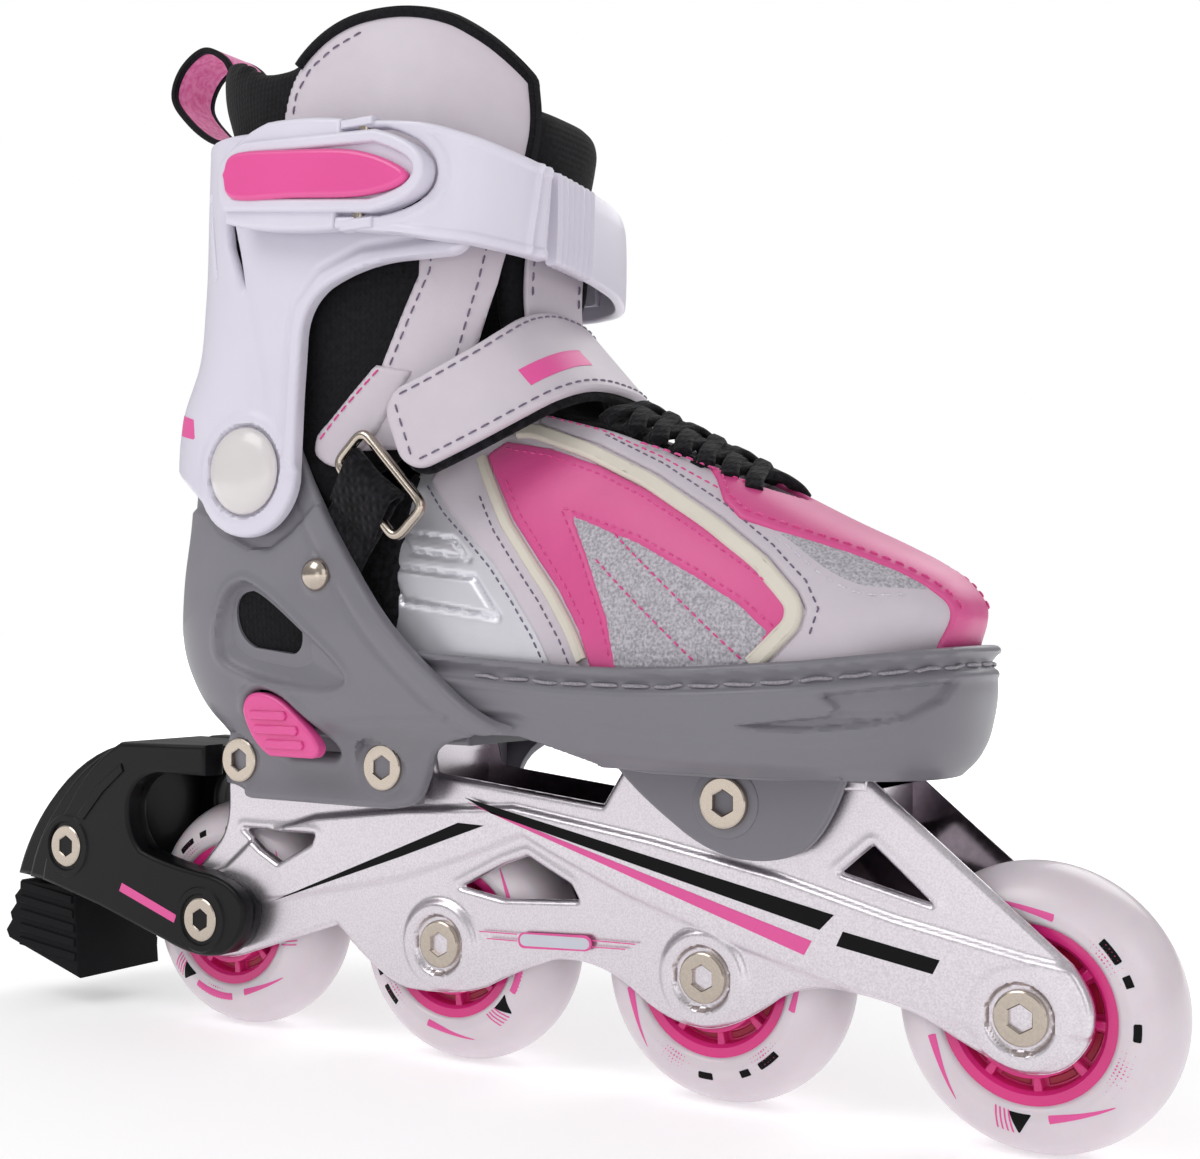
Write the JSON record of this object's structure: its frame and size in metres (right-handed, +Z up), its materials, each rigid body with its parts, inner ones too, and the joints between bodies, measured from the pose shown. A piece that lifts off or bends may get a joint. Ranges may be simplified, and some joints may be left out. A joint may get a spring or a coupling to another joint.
{
  "type": "inline skate",
  "caption": "Child's size-adjustable inline skate with a soft laced boot, pivoting buckled cuff, sliding toe shell, cast frame, in-line wheels and a heel brake.",
  "frame": {"origin": "on the ground under the middle of the bounding box", "axes": "+X to the toe, +Y to the inner side away from the buckle lever, +Z up; the wheels stand on z = 0"},
  "size_m": [0.3471, 0.0984, 0.2825],
  "materials": {
    "cuff_plastic": "moulded pale lilac polymer, satin gloss",
    "shell_plastic": "moulded mid grey polymer, satin",
    "pink_plastic": "moulded hot pink polymer, satin gloss",
    "frame_metal": "cast silver, satin clear coat",
    "wheel_tyre": "cast pale polyurethane",
    "wheel_hub": "moulded deep pink polymer",
    "steel": "nickel plated",
    "brake_plastic": "black moulded polymer",
    "brake_rubber": "black rubber",
    "upper_white": "silver white coated synthetic leather, stitched",
    "liner_black": "black knit over foam",
    "pearl_plastic": "pearl coated polymer",
    "webbing": "woven webbing",
    "loop_webbing": "pink and black woven webbing",
    "lace_cord": "braided black cord"
  },
  "bodies": {
    "chassis": {"frame": "frame_metal", "heel_shell": "shell_plastic", "heel_bolt_rear": "steel", "heel_nut_rear": "steel", "heel_bolt_front": "steel", "heel_nut_front": "steel", "axle_bolt_1": "steel", "axle_bolt_2": "steel", "axle_bolt_3": "steel", "axle_bolt_4": "steel", "axle_nut_1": "steel", "axle_nut_2": "steel", "axle_nut_3": "steel", "axle_nut_4": "steel", "pivot_cap_near": "pearl_plastic", "pivot_cap_far": "pearl_plastic", "heel_liner": "liner_black", "quarter": "upper_white", "footbed": "liner_black", "tongue": "liner_black", "instep_strap": "upper_white", "strap_ring": "steel", "ring_webbing": "webbing", "webbing_rivet": "steel", "brake_arm": "brake_plastic", "brake_pad": "brake_rubber", "brake_bolt": "steel", "brake_nut": "steel"},
    "toe": {"toe_shell": "shell_plastic", "toe_bolt": "steel", "toe_nut": "steel", "vamp": "upper_white", "lace": "lace_cord"},
    "button": {"size_button": "pink_plastic"},
    "cuff": {"cuff": "cuff_plastic", "collar": "liner_black", "pull_loop": "loop_webbing", "strap_far": "cuff_plastic", "strap_rivet": "steel"},
    "strap": {"strap_near": "cuff_plastic", "lever_pin": "steel"},
    "lever": {"buckle_lever": "cuff_plastic", "lever_insert": "pink_plastic"},
    "wheel_1": {"tyre_1": "wheel_tyre", "hub_1": "wheel_hub", "bearing_near_1": "steel", "bearing_far_1": "steel"},
    "wheel_2": {"tyre_2": "wheel_tyre", "hub_2": "wheel_hub", "bearing_near_2": "steel", "bearing_far_2": "steel"},
    "wheel_3": {"tyre_3": "wheel_tyre", "hub_3": "wheel_hub", "bearing_near_3": "steel", "bearing_far_3": "steel"},
    "wheel_4": {"tyre_4": "wheel_tyre", "hub_4": "wheel_hub", "bearing_near_4": "steel", "bearing_far_4": "steel"}
  },
  "joints": [
    {"name": "wheel_1_spin", "type": "hinge", "parent": "chassis", "child": "wheel_1", "pos_m": [-0.08795, 0.0024, 0.032], "axis": [0, 1, 0], "continuous": true},
    {"name": "wheel_2_spin", "type": "hinge", "parent": "chassis", "child": "wheel_2", "pos_m": [-0.01145, 0.0024, 0.032], "axis": [0, 1, 0], "continuous": true},
    {"name": "wheel_3_spin", "type": "hinge", "parent": "chassis", "child": "wheel_3", "pos_m": [0.06505, 0.0024, 0.032], "axis": [0, 1, 0], "continuous": true},
    {"name": "wheel_4_spin", "type": "hinge", "parent": "chassis", "child": "wheel_4", "pos_m": [0.14155, 0.0024, 0.032], "axis": [0, 1, 0], "continuous": true},
    {"name": "toe_slide", "type": "slide", "parent": "chassis", "child": "toe", "axis": [1, 0, 0], "range_m": [0, 0.018]},
    {"name": "size_button_press", "type": "slide", "parent": "chassis", "child": "button", "axis": [0, 1, 0], "range_m": [0, 0.0015], "stiffness_N_per_m": 800},
    {"name": "cuff_pivot", "type": "hinge", "parent": "chassis", "child": "cuff", "pos_m": [-0.0572, 0.0024, 0.154], "axis": [0, 1, 0], "range_deg": [-2, 6]},
    {"name": "strap_swing", "type": "hinge", "parent": "cuff", "child": "strap", "pos_m": [0.0244, -0.021, 0.215], "axis": [0, 0, 1], "range_deg": [0, 60], "stiffness_Nm_per_rad": 0.03},
    {"name": "buckle_open", "type": "hinge", "parent": "strap", "child": "lever", "pos_m": [-0.0142, -0.045, 0.225], "axis": [0.0768, 0, 0.997], "range_deg": [0, 72]}
  ],
  "couplings": [
    {"joint": "buckle_open", "follows": "strap_swing", "ratio": 1.15}
  ]
}
